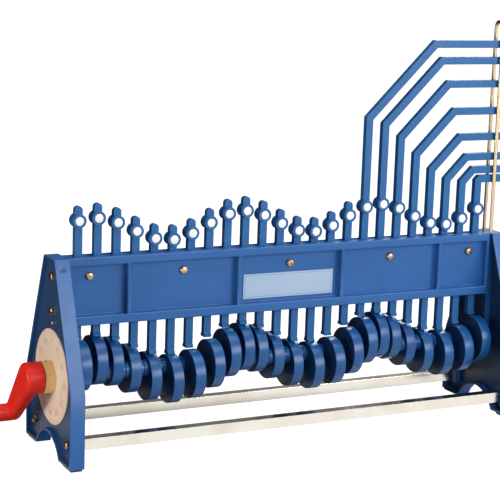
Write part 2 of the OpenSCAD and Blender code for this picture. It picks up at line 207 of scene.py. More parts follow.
def coordinates(tree, kind):
    return addNode(tree, "ShaderNodeTexCoord").outputs[kind]


def principled(name, values):
    material = bpy.data.materials.new(name)
    material.use_nodes = True
    tree = material.node_tree
    shader = tree.nodes["Principled BSDF"]
    for socket, value in values.items():
        shader.inputs[socket].default_value = value
    return material, tree, shader


def objectNoise(tree, scale, detail, stretch=(1, 1, 1)):
    mapping = addNode(tree, "ShaderNodeMapping", values={"Scale": stretch})
    noise = addNode(tree, "ShaderNodeTexNoise", values={"Scale": scale, "Detail": detail})
    tree.links.new(coordinates(tree, "Object"), mapping.inputs["Vector"])
    tree.links.new(mapping.outputs["Vector"], noise.inputs["Vector"])
    return noise.outputs["Fac"]


# Maps a span of values, by default the middle of a noise, onto low to high.
def spread(tree, source, low, high, fromLow=0.3, fromHigh=0.7):
    span = addNode(tree, "ShaderNodeMapRange", values={
        "From Min": fromLow, "From Max": fromHigh, "To Min": low, "To Max": high})
    tree.links.new(source, span.inputs["Value"])
    return span.outputs["Result"]


def mixColours(tree, factor, first, second):
    mix = addNode(tree, "ShaderNodeMix", {"data_type": "RGBA"})
    plug(tree, [mix.inputs[socket] for socket in (0, 6, 7)], (factor, first, second))
    return mix.outputs[2]


# Each layer of bump is a (height, strength, distance).
def addBump(tree, shader, layers):
    previous = None
    for height, strength, distance in layers:
        bump = addNode(tree, "ShaderNodeBump", values={"Strength": strength, "Distance": distance})
        tree.links.new(height, bump.inputs["Height"])
        if previous:
            tree.links.new(previous, bump.inputs["Normal"])
        previous = bump.outputs["Normal"]
    tree.links.new(previous, shader.inputs["Normal"])


# How near a point is to a sharp edge, from 0 to 1.
def edgeMask(tree, width, samples, span):
    soft = addNode(tree, "ShaderNodeBevel", {"samples": samples}, {"Radius": width})
    geometry = addNode(tree, "ShaderNodeNewGeometry")
    level = vectorMaths(tree, "DOT_PRODUCT", soft.outputs["Normal"], geometry.outputs["Normal"])
    return spread(tree, level, 1.0, 0.0, *span)


# How far a face looks along the shaft, from 0 to 1; it places the painted shade on such faces.
def sideMask(tree, span):
    parts = addNode(tree, "ShaderNodeSeparateXYZ")
    tree.links.new(coordinates(tree, "Normal"), parts.inputs[0])
    return spread(tree, maths(tree, "ABSOLUTE", parts.outputs["X"]), 0.0, 1.0, *span)


# A soft round mark: 1 in its core, 0 outside its radius.
def sinkMask(tree, centre, radius, core):
    away = vectorMaths(tree, "DISTANCE", coordinates(tree, "Object"), centre)
    return spread(tree, away, 1.0, 0.0, core, radius)


# Cloud, scuff and smear are noises of (scale, detail), grain and waves reliefs of (scale, detail, strength,
# height). The other pairs are (low, high).
blueMoulding = {
    "deep": (0.013, 0.104, 0.335, 1), "light": (0.020, 0.124, 0.380, 1), "cloud": (16.0, 4.0),
    "edge": (0.04, 0.17, 0.46, 1), "edgeWidth": 0.9 * mm, "edgeSamples": 4, "edgeSpan": (0.80, 0.985),
    "scuff": (160.0, 5.0), "scuffShare": (0.1, 0.6), "sides": None, "sideShadeSpan": (0.55, 0.95), "sink": None,
    "roughness": (0.30, 0.42), "smear": (42.0, 6.0), "coat": 0.10, "coatRoughness": 0.12, "specular": 0.36,
    "grain": (2200.0, 2.0, 0.10, 0.06 * mm), "waves": (55.0, 2.0, 0.12, 0.25 * mm)}


def mouldedBlue(name, look):
    material, tree, shader = principled(name, {
        "IOR": 1.5, "Coat Weight": look["coat"], "Coat Roughness": look["coatRoughness"],
        "Specular IOR Level": look["specular"]})
    cloud = spread(tree, objectNoise(tree, *look["cloud"]), 0.0, 1.0)
    colour = mixColours(tree, cloud, look["deep"], look["light"])
    if look["edge"]:
        scuff = spread(tree, objectNoise(tree, *look["scuff"]), *look["scuffShare"])
        edge = edgeMask(tree, look["edgeWidth"], look["edgeSamples"], look["edgeSpan"])
        colour = mixColours(tree, maths(tree, "MULTIPLY", edge, scuff), colour, look["edge"])
    # Faces that look along the shaft turn darker: painted shade.
    if look["sides"]:
        colour = mixColours(tree, sideMask(tree, look["sideShadeSpan"]), colour, look["sides"])
    layers = [(objectNoise(tree, *relief[:2]), *relief[2:]) for relief in (look["grain"], look["waves"])]
    if look["sink"]:
        sink = look["sink"]
        hollow = sinkMask(tree, sink["centre"], sink["radius"], sink["core"])
        # The hollow of the sink mark gets a darker colour: painted shade.
        colour = mixColours(tree, hollow, colour, sink["colour"])
        layers.append((spread(tree, hollow, 0.0, -1.0, 0.0, 1.0), *sink["relief"]))
    tree.links.new(colour, shader.inputs["Base Color"])
    smear = objectNoise(tree, *look["smear"])
    tree.links.new(spread(tree, smear, *look["roughness"]), shader.inputs["Roughness"])
    addBump(tree, shader, layers)
    return material


metal = {"stain": (26.0, 5.0), "stainShare": (0.0, 0.55), "stainSpan": (0.42, 0.75), "lineDetail": 2.0,
         "lineHeight": 0.03 * mm}


# Metal with a duller tone in patches and a fine uneven polish, which a stretch draws out into lines.
def polishedMetal(name, base, dull, roughness, stretch=(1, 1, 1), lineScale=900.0, relief=0.08):
    material, tree, shader = principled(name, {"Metallic": 1.0})
    stain = spread(tree, objectNoise(tree, *metal["stain"]), *metal["stainShare"], *metal["stainSpan"])
    tree.links.new(mixColours(tree, stain, base, dull), shader.inputs["Base Color"])
    lines = objectNoise(tree, lineScale, metal["lineDetail"], stretch)
    tree.links.new(spread(tree, lines, *roughness), shader.inputs["Roughness"])
    addBump(tree, shader, [(lines, relief, metal["lineHeight"])])
    return material


plain = {"cloudDetail": 5.0, "smear": (60.0, 4.0), "grainDetail": 2.0, "grainHeight": 0.06 * mm}


# Plastic, rubber or ink: two near tones in patches, an uneven gloss and a fine grain.
def plainFinish(name, base, second, roughness, cloudScale=30.0, grainScale=1500.0, bump=0.12, extra=None):
    material, tree, shader = principled(name, {"IOR": 1.5, **(extra or {})})
    patches = spread(tree, objectNoise(tree, cloudScale, plain["cloudDetail"]), 0.0, 1.0)
    tree.links.new(mixColours(tree, patches, base, second), shader.inputs["Base Color"])
    smear = objectNoise(tree, *plain["smear"])
    tree.links.new(spread(tree, smear, *roughness), shader.inputs["Roughness"])
    grain = objectNoise(tree, grainScale, plain["grainDetail"])
    addBump(tree, shader, [(grain, bump, plain["grainHeight"])])
    return material


# The cams' blue is darker than the frame's, painted shade of the cams under the box; their faces that look
# along the shaft get painted shade, near black.
camBlue = dict(blueMoulding, deep=(0.003, 0.070, 0.245, 1), light=(0.006, 0.100, 0.31, 1), cloud=(22.0, 4.0),
               roughness=(0.27, 0.36), specular=0.42, edge=None, sides=(0.004, 0.030, 0.105, 1))
rodBlue = dict(blueMoulding, deep=(0.014, 0.112, 0.315, 1), light=(0.022, 0.136, 0.360, 1), cloud=(30.0, 4.0),
               roughness=(0.34, 0.46), coat=0.04, specular=0.30, edge=None)
drawn = (0.02, 1, 1)  # the polish of drawn bar runs along X
redGloss = {"Coat Weight": 0.08, "Coat Roughness": 0.1, "Specular IOR Level": 0.30}
finishes = {
    "frameBlue": mouldedBlue("frameBlue", blueMoulding),
    # The right plate's faces that look along the shaft get painted shade, near black.
    "rightPlateBlue": mouldedBlue("rightPlateBlue", dict(blueMoulding, sides=(0.006, 0.030, 0.10, 1))),
    "camBlue": mouldedBlue("camBlue", camBlue),
    "rodBlue": mouldedBlue("rodBlue", rodBlue),
    "brass": polishedMetal("brass", (0.80, 0.61, 0.31, 1), (0.52, 0.36, 0.16, 1), (0.08, 0.18)),
    "screwBrass": polishedMetal("screwBrass", (0.50, 0.37, 0.24, 1), (0.34, 0.24, 0.15, 1), (0.26, 0.36)),
    "wireBrass": polishedMetal("wireBrass", (0.70, 0.53, 0.32, 1), (0.56, 0.41, 0.24, 1), (0.32, 0.38),
                               lineScale=240.0, relief=0.01),
    "paleBrass": polishedMetal("paleBrass", (0.96, 0.92, 0.84, 1), (0.80, 0.70, 0.52, 1), (0.12, 0.24),
                               drawn),
    "steel": polishedMetal("steel", (0.62, 0.62, 0.63, 1), (0.42, 0.42, 0.43, 1), (0.22, 0.36), drawn),
    "blackOxide": polishedMetal("blackOxide", (0.06, 0.06, 0.065, 1), (0.03, 0.03, 0.03, 1), (0.35, 0.5)),
    "rubber": plainFinish("rubber", (0.018, 0.018, 0.020, 1), (0.030, 0.030, 0.032, 1), (0.65, 0.85),
                          bump=0.3),
    "dialCream": plainFinish("dialCream", (0.92, 0.82, 0.70, 1), (0.95, 0.87, 0.77, 1), (0.38, 0.50), 12.0),
    "dialInk": plainFinish("dialInk", (0.58, 0.40, 0.28, 1), (0.66, 0.46, 0.33, 1), (0.5, 0.6)),
    "dialGreen": plainFinish("dialGreen", (0.52, 0.54, 0.36, 1), (0.58, 0.60, 0.40, 1), (0.5, 0.6)),
    "labelPale": plainFinish("labelPale", (0.38, 0.51, 0.67, 1), (0.41, 0.54, 0.70, 1), (0.30, 0.38), 18.0),
    "labelLine": plainFinish("labelLine", (0.10, 0.26, 0.50, 1), (0.12, 0.30, 0.55, 1), (0.35, 0.45)),
    "white": plainFinish("white", (0.96, 0.96, 0.96, 1), (0.92, 0.92, 0.92, 1), (0.30, 0.42)),
    "red": plainFinish("red", (0.88, 0.026, 0.014, 1), (0.80, 0.020, 0.010, 1), (0.36, 0.48), 20.0, 900.0,
                       0.08, redGloss),
}

# The left end plate has a shallow sink mark near the top of its slanted front flange, with a relief of
# (strength, height) and a darker colour in its hollow, painted shade. The flange slants in from the plate's
# full depth at sideHeight to halfTop at its top.
# The left plate's faces that look along the shaft get painted shade, a dark dull blue.
leftPlate = {"sides": (0.026, 0.068, 0.19, 1), "sideHeight": 90 * mm, "halfTop": 19 * mm,
             "markDown": 11 * mm, "markRadius": 5 * mm, "markCore": 1.75 * mm,
             "markShadeColour": (0.002, 0.055, 0.22, 1), "markRelief": (0.6, 0.8 * mm)}


def leftPlateBlue():
    low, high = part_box("left_end_plate")
    slope = (-low.y - leftPlate["halfTop"]) / (high.z - leftPlate["sideHeight"])
    front = -leftPlate["halfTop"] - leftPlate["markDown"] * slope
    sink = {"centre": ((low.x + high.x) / 2, front, high.z - leftPlate["markDown"]),
            "radius": leftPlate["markRadius"], "core": leftPlate["markCore"],
            "colour": leftPlate["markShadeColour"], "relief": leftPlate["markRelief"]}
    return mouldedBlue("leftPlateBlue", dict(blueMoulding, sides=leftPlate["sides"], sink=sink))


finishes["leftPlateBlue"] = leftPlateBlue()
print("stage: materials")


def newTree(name, inputs):
    tree = bpy.data.node_groups.new(name, "GeometryNodeTree")
    tree.interface.new_socket("Geometry", in_out="INPUT", socket_type="NodeSocketGeometry")
    tree.interface.new_socket("Geometry", in_out="OUTPUT", socket_type="NodeSocketGeometry")
    for label, kind in inputs:
        tree.interface.new_socket(label, in_out="INPUT", socket_type=kind)
    return tree, tree.nodes.new("NodeGroupInput"), tree.nodes.new("NodeGroupOutput")


# Makes the copies real and gives them the tree's material.
def endTree(tree, given, result, copies):
    real = addNode(tree, "GeometryNodeRealizeInstances")
    paint = addNode(tree, "GeometryNodeSetMaterial")
    tree.links.new(copies.outputs[0], real.inputs[0])
    tree.links.new(real.outputs[0], paint.inputs["Geometry"])
    tree.links.new(given.outputs["Material"], paint.inputs["Material"])
    tree.links.new(paint.outputs[0], result.inputs[0])
    return tree


def bakeTree(piece, tree, values):
    modifier = piece.modifiers.new("build", "NODES")
    modifier.node_group = tree
    for item in tree.interface.items_tree:
        if item.in_out == "INPUT" and item.name in values:
            modifier[item.identifier] = values[item.name]
    applyModifiers(piece)


# Copies the piece along a line, each copy turned about X a step further than the last.
def turnedRowTree():
    tree, given, result = newTree("turnedRow", [
        ("Count", "NodeSocketInt"), ("Start", "NodeSocketVector"), ("Step", "NodeSocketVector"),
        ("First turn", "NodeSocketFloat"), ("Turn step", "NodeSocketFloat"),
        ("Material", "NodeSocketMaterial")])
    link = tree.links.new
    line = addNode(tree, "GeometryNodeMeshLine", {"mode": "OFFSET"})
    index = addNode(tree, "GeometryNodeInputIndex")
    turn = addNode(tree, "ShaderNodeCombineXYZ")
    copies = addNode(tree, "GeometryNodeInstanceOnPoints")
    first, step = given.outputs["First turn"], given.outputs["Turn step"]
    link(given.outputs["Count"], line.inputs["Count"])
    link(given.outputs["Start"], line.inputs["Start Location"])
    link(given.outputs["Step"], line.inputs["Offset"])
    link(maths(tree, "MULTIPLY_ADD", index.outputs[0], step, first), turn.inputs["X"])
    link(line.outputs["Mesh"], copies.inputs["Points"])
    link(given.outputs["Geometry"], copies.inputs["Instance"])
    link(turn.outputs[0], copies.inputs["Rotation"])
    return endTree(tree, given, result, copies)


# Sets a screw on each point of the piece, facing and turned as the point's "facing" says.
def screwTree():
    tree, given, result = newTree("screwsOnPoints", [
        ("Screw", "NodeSocketObject"), ("Material", "NodeSocketMaterial")])
    link = tree.links.new
    source = addNode(tree, "GeometryNodeObjectInfo")
    facing = addNode(tree, "GeometryNodeInputNamedAttribute", {"data_type": "FLOAT_VECTOR"},
                     {"Name": "facing"})
    copies = addNode(tree, "GeometryNodeInstanceOnPoints")
    link(given.outputs["Screw"], source.inputs["Object"])
    link(given.outputs["Geometry"], copies.inputs["Points"])
    link(source.outputs["Geometry"], copies.inputs["Instance"])
    link(facing.outputs[0], copies.inputs["Rotation"])
    return endTree(tree, given, result, copies)


turnedRow = turnedRowTree()
screwsOnPoints = screwTree()

# The first crest is given in pitches after the first cam.
cams = {
    "count": 24, "pitch": 25 * mm, "throw": 16 * mm, "perWave": 8, "firstCrest": 0.78,
    "radius": 31 * mm, "thickness": 14.5 * mm, "rim": 0.9 * mm, "rimSteps": 4, "steps": 96,
    "hubRadius": 10.5 * mm, "hubLength": 24.9 * mm, "hubChamfer": 0.7 * mm, "hubSteps": 48,
    "shaftHole": 4.1 * mm}
shaftHeight = boxCentre("cam_shaft").z
rowCentre = (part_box("left_end_plate")[0].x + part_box("right_end_plate")[1].x) / 2
rowStart = rowCentre - cams["pitch"] * (cams["count"] - 1) / 2


# One side of the disc's outline, from its middle out to the rim.
def discHalf(side):
    half, rim = cams["thickness"] / 2, cams["rim"]
    corner = arcPoints((half - rim, cams["radius"] - rim), rim, 0, 90, cams["rimSteps"])
    return [(side * x, y) for x, y in [(half, 0)] + corner]


def makeCams():
    bm = bmesh.new()
    lathe(bm, discHalf(-1) + discHalf(1)[::-1], cams["steps"], (0, 0, cams["throw"]))
    half, hole = cams["hubLength"] / 2, cams["shaftHole"]
    radius, chamfer = cams["hubRadius"], cams["hubChamfer"]
    lathe(bm, [(-half, hole), (-half, radius - chamfer), (-half + chamfer, radius), (half - chamfer, radius),
               (half, radius - chamfer), (half, hole), (-half, hole)], cams["hubSteps"])
    finishNormals(bm)
    piece = pieceFrom(bm, "cam_stack")
    smoothFaces(piece.data)
    turnStep = -2 * math.pi / cams["perWave"]
    bakeTree(piece, turnedRow, {
        "Count": cams["count"], "Start": (rowStart, 0, shaftHeight), "Step": (cams["pitch"], 0, 0),
        "First turn": -cams["firstCrest"] * turnStep, "Turn step": turnStep, "Material": finishes["camBlue"]})
    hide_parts(*[f"cams_{group}" for group in range(1, cams["perWave"] + 1)])
    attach(piece, "camshaft")


makeCams()

crank = {"voxel": 0.9 * mm, "relaxFactor": 0.5, "relaxRounds": 14, "smoothAngle": 180}


# The crank and its grip are one soft moulding.
def makeCrank():
    piece = pieceFrom(nodeCopy("crank_handle"), "crank_smooth")
    remesh = piece.modifiers.new("remesh", "REMESH")
    remesh.mode = "VOXEL"
    remesh.voxel_size = crank["voxel"]
    relax = piece.modifiers.new("relax", "SMOOTH")
    relax.factor = crank["relaxFactor"]
    relax.iterations = crank["relaxRounds"]
    applyModifiers(piece)
    smoothFaces(piece.data, crank["smoothAngle"])
    dress(piece, finishes["red"])
    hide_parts("crank_handle")
    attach(piece, "camshaft")


makeCrank()
shaftPieces = {"crank_hub": ("brass", 0.9 * mm), "end_collars": ("steel", 0.3 * mm)}
for name, (finish, radius) in shaftPieces.items():
    softened(name, "camshaft", finish, radius)
print("stage: camshaft and crank")

rods = {"edge": 0.6 * mm, "headHeight": 276 * mm, "headDepth": 15 * mm}  # the head's height is at mid stroke
marker = {"radius": 5.45 * mm, "dome": 0.5 * mm, "domeAngles": (12, 30, 50, 70), "sunk": 0.3 * mm,
          "thickness": 0.9 * mm, "steps": 40}


# White dot set in the recess of the head, with a narrow gap round it.
def makeMarker(number, rodName):
    joint = next(j for j in frame["joints"] if j["child"] == rodName)
    head = Vector((joint["pos_m"][0], 0, joint["pos_m"][2] - shaftHeight + rods["headHeight"]))
    front = marker["sunk"] - rods["headDepth"] / 2
    radius, back = marker["radius"], front + marker["thickness"]
    crown = domePoints(front, marker["dome"], radius, marker["domeAngles"])
    bm = bmesh.new()
    crown += [(front - marker["dome"], 0)]
    lathe(bm, [(back, 0), (back, radius), (front, radius)] + crown, marker["steps"])
    finishNormals(bm)
    bmesh.ops.rotate(bm, verts=bm.verts, matrix=Matrix.Rotation(math.pi / 2, 3, "Z"))
    bmesh.ops.translate(bm, verts=bm.verts, vec=head)
    piece = pieceFrom(bm, f"marker_{number:02d}")
    smoothFaces(piece.data)
    dress(piece, finishes["white"])
    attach(piece, rodName)


for number in range(1, cams["count"] + 1):
    rodName = f"rod_{number:02d}"
    softened(rodName, rodName, "rodBlue", rods["edge"])
    makeMarker(number, rodName)
print("stage: rods")

# The finish of each piece of the frame and the radius of its edges.
framePieces = {
    "left_end_plate": ("leftPlateBlue", 0.9 * mm), "right_end_plate": ("rightPlateBlue", 0.9 * mm),
    "rear_panel": ("frameBlue", 0.6 * mm),
    "top_comb": ("frameBlue", 0.3 * mm), "bottom_comb": ("frameBlue", 0.3 * mm),
    "front_tie_bar": ("paleBrass", 0.7 * mm), "rear_tie_bar": ("paleBrass", 0.7 * mm),
    "foot_pads": ("rubber", 0.6 * mm),
    "phase_dial": ("dialCream", 0.7 * mm), "label_plate": ("labelPale", 0.2 * mm)}
for name, (finish, radius) in framePieces.items():
    softened(name, "frame", finish, radius)

# Rib places are in pitches from the first rod, angles in degrees.
panel = {"topRail": 10.5 * mm, "bottomRail": 11.5 * mm, "rib": 4.8 * mm, "relief": 10 * mm,
         "ribPlaces": (2.5, 8.5, 14.5, 20.5), "edge": 1.5 * mm, "corner": 1.0 * mm, "roundSteps": 3,
         "flatWithin": 0.5, "sharpFrom": 57, "smoothAngle": 50, "levelWithin": 0.001 * mm}


# The edges that lie wholly at one depth.
def edgesAt(bm, depth):
    return [e for e in bm.edges if all(abs(v.co.y - depth) < panel["levelWithin"] for v in e.verts)]


# Front panel as one skin: rails and ribs in front, fields sunk between them, a plain back.
def makeFrontPanel():
    low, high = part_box("front_panel")
    front, field, back = low.y, low.y + panel["relief"], high.y
    half = panel["rib"] / 2
    xs = [low.x, low.x + panel["rib"]]
    for place in panel["ribPlaces"]:
        middle = rowStart + place * cams["pitch"]
        xs += [middle - half, middle + half]
    xs += [high.x - panel["rib"], high.x]
    zs = [low.z, low.z + panel["bottomRail"], high.z - panel["topRail"], high.z]
    bm = bmesh.new()
    corners = {}

    def face(*places):
        for column, y, row in places:
            if (column, y, row) not in corners:
                corners[column, y, row] = bm.verts.new((xs[column], y, zs[row]))
        bm.faces.new([corners[place] for place in places])

    columns, rows = len(xs) - 1, len(zs) - 1
    for column in range(columns):
        for row in range(rows):
            right, above = column + 1, row + 1
            sunk = column % 2 == 1 and row == 1
            y = field if sunk else front
            face((column, y, row), (right, y, row), (right, y, above), (column, y, above))
            face((column, back, row), (column, back, above), (right, back, above), (right, back, row))
            if sunk:
                around = [(column, row), (right, row), (right, above), (column, above)]
                for (c0, r0), (c1, r1) in zip(around, around[1:] + around[:1]):
                    face((c0, front, r0), (c1, front, r1), (c1, field, r1), (c0, field, r0))
    for column in range(columns):
        for row in (0, rows):
            face((column, front, row), (column + 1, front, row), (column + 1, back, row), (column, back, row))
    for row in range(rows):
        for column in (0, columns):
            face((column, front, row), (column, front, row + 1), (column, back, row + 1), (column, back, row))
    bmesh.ops.recalc_face_normals(bm, faces=bm.faces)
    bmesh.ops.dissolve_limit(bm, angle_limit=math.radians(panel["flatWithin"]), verts=bm.verts,
                             edges=edgesAt(bm, back))
    sharp = math.radians(panel["sharpFrom"])
    for depth, radius in ((front, panel["edge"]), (field, panel["corner"])):
        edges = [e for e in edgesAt(bm, depth) if e.calc_face_angle(0) > sharp]
        bmesh.ops.bevel(bm, geom=edges, offset=radius, offset_type="OFFSET", segments=panel["roundSteps"],
                        profile=0.5, affect="EDGES", clamp_overlap=True)
    piece = pieceFrom(bm, "front_panel_moulding")
    smoothFaces(piece.data, panel["smoothAngle"])
    flattenBroadFaces(piece)
    dress(piece, finishes["frameBlue"])
    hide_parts("front_panel")
    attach(piece, "frame")


makeFrontPanel()

guide = {"wire": 2.5 * mm, "gap": 16 * mm, "legSteps": 6, "bendSteps": 20, "roundSteps": 5}


# Brass wire bent into a tall hairpin.
def makeGuide():
    low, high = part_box("brass_guide")
    bendRadius = guide["gap"] / 2
    bendHeight = high.z - bendRadius - guide["wire"]
    legSteps = guide["legSteps"]
    leg = [(bendRadius, low.z + (bendHeight - low.z) * step / legSteps) for step in range(legSteps)]
    bend = arcPoints((0, bendHeight), bendRadius, 0, 180, guide["bendSteps"])
    path = leg + bend + [(-y, z) for y, z in leg[::-1]]
    curve = bpy.data.curves.new("guideWire", "CURVE")
    curve.dimensions = "3D"
    curve.bevel_depth = guide["wire"]
    curve.bevel_resolution = guide["roundSteps"]
    curve.use_fill_caps = True
    spline = curve.splines.new("POLY")
    spline.points.add(len(path) - 1)
    for point, (y, z) in zip(spline.points, path):
        point.co = ((low.x + high.x) / 2, y, z, 1)
    wire = newPiece("guideWire", curve)
    piece = newPiece("guide_wire", plainMesh(wire))
    bpy.data.objects.remove(wire)
    smoothFaces(piece.data)
    dress(piece, finishes["wireBrass"])
    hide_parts("brass_guide")
    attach(piece, "frame")


makeGuide()

# Places are in pitches from the first rod. Turns are in radians: one for each screw of the panel, and for
# each end plate the turn of its first screw and the step to the next. The other angles are in degrees.
screws = {"radius": 5.1 * mm, "height": 5 * mm, "edge": 2.6 * mm, "slotWidth": 1.7 * mm,
          "slotDepth": 3.2 * mm, "shank": 2.5 * mm, "shankLength": 6 * mm, "domeAngles": range(0, 90, 12),
          "steps": 40, "smoothAngle": 40, "panelPlaces": (0.5, 5.5, 11.5, 17.5, 22.5),
          "panelTurns": (0.6, 0.06, 1.2, 0.03, 1.5), "panelShift": 1 * mm, "boxLow": 18.5 * mm,
          "boxHigh": 23.5 * mm, "leftTurns": (0.3, 0.9), "rightTurns": (0.8, 1.1)}


# A slotted round head whose seat is at x = 0, with a short shank behind it.
def screwShape():
    bm = bmesh.new()
    radius, height, edge = screws["radius"], screws["height"], screws["edge"]
    shank, length = screws["shank"], screws["shankLength"]
    crown = domePoints(-edge, height - edge, radius, screws["domeAngles"]) + [(-height, 0)]
    lathe(bm, [(length, 0), (length, shank), (0, shank), (0, radius)] + crown, screws["steps"])
    finishNormals(bm)
    head = pieceFrom(bm, "screwBlank")
    bm = bmesh.new()
    addBlock(bm, (-height, 0, 0), (2 * screws["slotDepth"], 3 * radius, screws["slotWidth"]))
    cutter = pieceFrom(bm, "slotCutter")
    cut = head.modifiers.new("slot", "BOOLEAN")
    cut.operation = "DIFFERENCE"
    cut.object = cutter
    cut.solver = "EXACT"
    applyModifiers(head)
    bpy.data.objects.remove(cutter)
    smoothFaces(head.data, screws["smoothAngle"])
    return head


# Seats and turns of the screws, placed from the boxes of the CAD screws, the panel and the tie bar.
def screwSeats():
    seats = []
    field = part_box("panel_screws")[0].y + screws["height"]
    for place, turn in zip(screws["panelPlaces"], screws["panelTurns"]):
        x = rowStart + place * cams["pitch"] + screws["panelShift"]
        seats.append(((x, field, boxCentre("panel_screws").z), (turn, 0, math.pi / 2)))
    left, right = [corner.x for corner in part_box("end_plate_screws")]
    panelBase, panelTop = [corner.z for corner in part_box("front_panel")]
    tie = boxCentre("front_tie_bar")
    spots = [(0, panelBase + screws["boxLow"]), (0, panelTop - screws["boxHigh"]),
             (tie.y, tie.z), (-tie.y, tie.z)]
    for order, (y, z) in enumerate(spots):
        turns = screws["leftTurns"], screws["rightTurns"]
        leftTurn, rightTurn = [first + step * order for first, step in turns]
        seats.append(((left + screws["height"], y, z), (leftTurn, 0, 0)))
        seats.append(((right - screws["height"], y, z), (rightTurn, 0, math.pi)))
    return seats


def makeScrews():
    screw = screwShape()
    places, turns = zip(*screwSeats())
    points = bpy.data.meshes.new("screwSeats")
    points.from_pydata(places, [], [])
    facing = points.attributes.new("facing", "FLOAT_VECTOR", "POINT")
    for value, turn in zip(facing.data, turns):
        value.vector = turn
    piece = newPiece("brass_screws", points)
    bakeTree(piece, screwsOnPoints, {"Screw": screw, "Material": finishes["screwBrass"]})
    bpy.data.objects.remove(screw)
    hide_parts("panel_screws", "end_plate_screws")
    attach(piece, "frame")


makeScrews()
print("stage: frame")

# A small round-headed pin in the end plate, just above the dial, to read it by.
readingPin = {"radius": 2.7 * mm, "height": 2.2 * mm, "edge": 0.8 * mm, "edgeSteps": 4, "aboveDial": 8.5 * mm,
              "steps": 32}


def makeReadingPin():
    radius, height, edge = readingPin["radius"], readingPin["height"], readingPin["edge"]
    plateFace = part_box("end_plate_screws")[0].x + screws["height"]
    crown = arcPoints((edge - height, radius - edge), edge, 90, 180, readingPin["edgeSteps"])
    bm = bmesh.new()
    lathe(bm, [(edge, 0), (edge, radius)] + crown + [(-height, 0)], readingPin["steps"],
          (plateFace, 0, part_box("phase_dial")[1].z + readingPin["aboveDial"]))
    finishNormals(bm)
    piece = pieceFrom(bm, "reading_pin")
    smoothFaces(piece.data)
    dress(piece, finishes["steel"])
    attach(piece, "frame")


makeReadingPin()

# The short ticks are turned by their shift, in degrees, to stand clear of the long ones.
dialPrint = {"radius": 56 * mm, "tickWidth": 0.5 * mm, "ink": 0.06 * mm,
             "longTicks": 12, "longTick": 5.5 * mm, "shortTicks": 72, "shortTick": 3 * mm, "shortShift": 2.5,
             "rings": (40 * mm, 57 * mm), "ringWidth": 0.35 * mm, "ringSteps": 96,
             "figures": 12, "figureRadius": 45 * mm, "figureSize": 8.5 * mm}
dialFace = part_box("phase_dial")[0].x


def makeTicks(name, count, length, finish, shift=0.0):
    bm = bmesh.new()
    size = (2 * dialPrint["ink"], dialPrint["tickWidth"], length)
    addBlock(bm, (0, 0, dialPrint["radius"] - length / 2), size)
    piece = pieceFrom(bm, name)
    bakeTree(piece, turnedRow, {
        "Count": count, "Start": (dialFace, 0, shaftHeight), "Step": (0, 0, 0),
        "First turn": math.radians(shift), "Turn step": 2 * math.pi / count, "Material": finishes[finish]})
    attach(piece, "frame")


def makeRings():
    bm = bmesh.new()
    ink = dialPrint["ink"]
    for inner in dialPrint["rings"]:
        outer = inner + dialPrint["ringWidth"]
        lathe(bm, [(-ink, inner), (-ink, outer), (ink, outer), (ink, inner), (-ink, inner)],
              dialPrint["ringSteps"], (dialFace, 0, shaftHeight))
    finishNormals(bm)
    piece = pieceFrom(bm, "dial_rings")
    dress(piece, finishes["dialInk"])
    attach(piece, "frame")


# Degrees round the dial, read from outside the end plate.
def makeFigures():
    whole = bmesh.new()
    outward = Matrix(((0, 0, -1), (-1, 0, 0), (0, 1, 0))).to_4x4()
    for step in range(dialPrint["figures"]):
        degrees = step * 360 // dialPrint["figures"]
        text = bpy.data.curves.new("figure", "FONT")
        text.body = str(degrees)
        text.size = dialPrint["figureSize"]
        text.align_x = "CENTER"
        text.align_y = "CENTER"
        text.extrude = dialPrint["ink"]
        holder = newPiece("figure", text)
        mesh = plainMesh(holder)
        bpy.data.objects.remove(holder)
        mesh.transform(outward)
        mesh.transform(Matrix.Translation((0, 0, dialPrint["figureRadius"])))
        mesh.transform(Matrix.Rotation(math.radians(degrees), 4, "X"))
        mesh.transform(Matrix.Translation((dialFace, 0, shaftHeight)))
        whole.from_mesh(mesh)
    bmesh.ops.remove_doubles(whole, verts=whole.verts, dist=mergeWithin["own"])
    piece = pieceFrom(whole, "dial_figures")
    dress(piece, finishes["dialInk"])
    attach(piece, "frame")


makeTicks("dial_long_ticks", dialPrint["longTicks"], dialPrint["longTick"], "dialInk")
makeTicks("dial_short_ticks", dialPrint["shortTicks"], dialPrint["shortTick"], "dialGreen",
          dialPrint["shortShift"])
makeRings()
makeFigures()

labelBorder = {"inset": 2.2 * mm, "width": 0.5 * mm, "ink": 0.05 * mm}


# Thin border on the plain label plate.
def makeLabelBorder():
    low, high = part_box("label_plate")
    inset, width = labelBorder["inset"], labelBorder["width"]
    left, right, bottom, top = low.x + inset, high.x - inset, low.z + inset, high.z - inset
    corners = [(left, bottom), (right, bottom), (right, top), (left, top)]
    bm = bmesh.new()
    for (x0, z0), (x1, z1) in zip(corners, corners[1:] + corners[:1]):
        addBlock(bm, ((x0 + x1) / 2, low.y, (z0 + z1) / 2),
                 (abs(x0 - x1) + width, 2 * labelBorder["ink"], abs(z0 - z1) + width))
    piece = pieceFrom(bm, "label_border")
    dress(piece, finishes["labelLine"])
    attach(piece, "frame")


makeLabelBorder()
print("stage: dial and label")

# The CAD nodes that keep their shape.
keptNodes = {"cam_shaft": "steel", "grub_screws": "blackOxide", "shaft_bushes": "brass"}
for name, finish in keptNodes.items():
    smoothFaces(nodes[name].data)
    dress(nodes[name], finishes[finish])
for group in range(1, cams["perWave"] + 1):
    dress(nodes[f"index_pins_{group}"], finishes["steel"])

white = (1, 1, 1, 1)


def mixShaders(tree, factor, first, second):
    mix = addNode(tree, "ShaderNodeMixShader")
    plug(tree, mix.inputs, (factor, first.outputs[0], second.outputs[0]))
    return mix


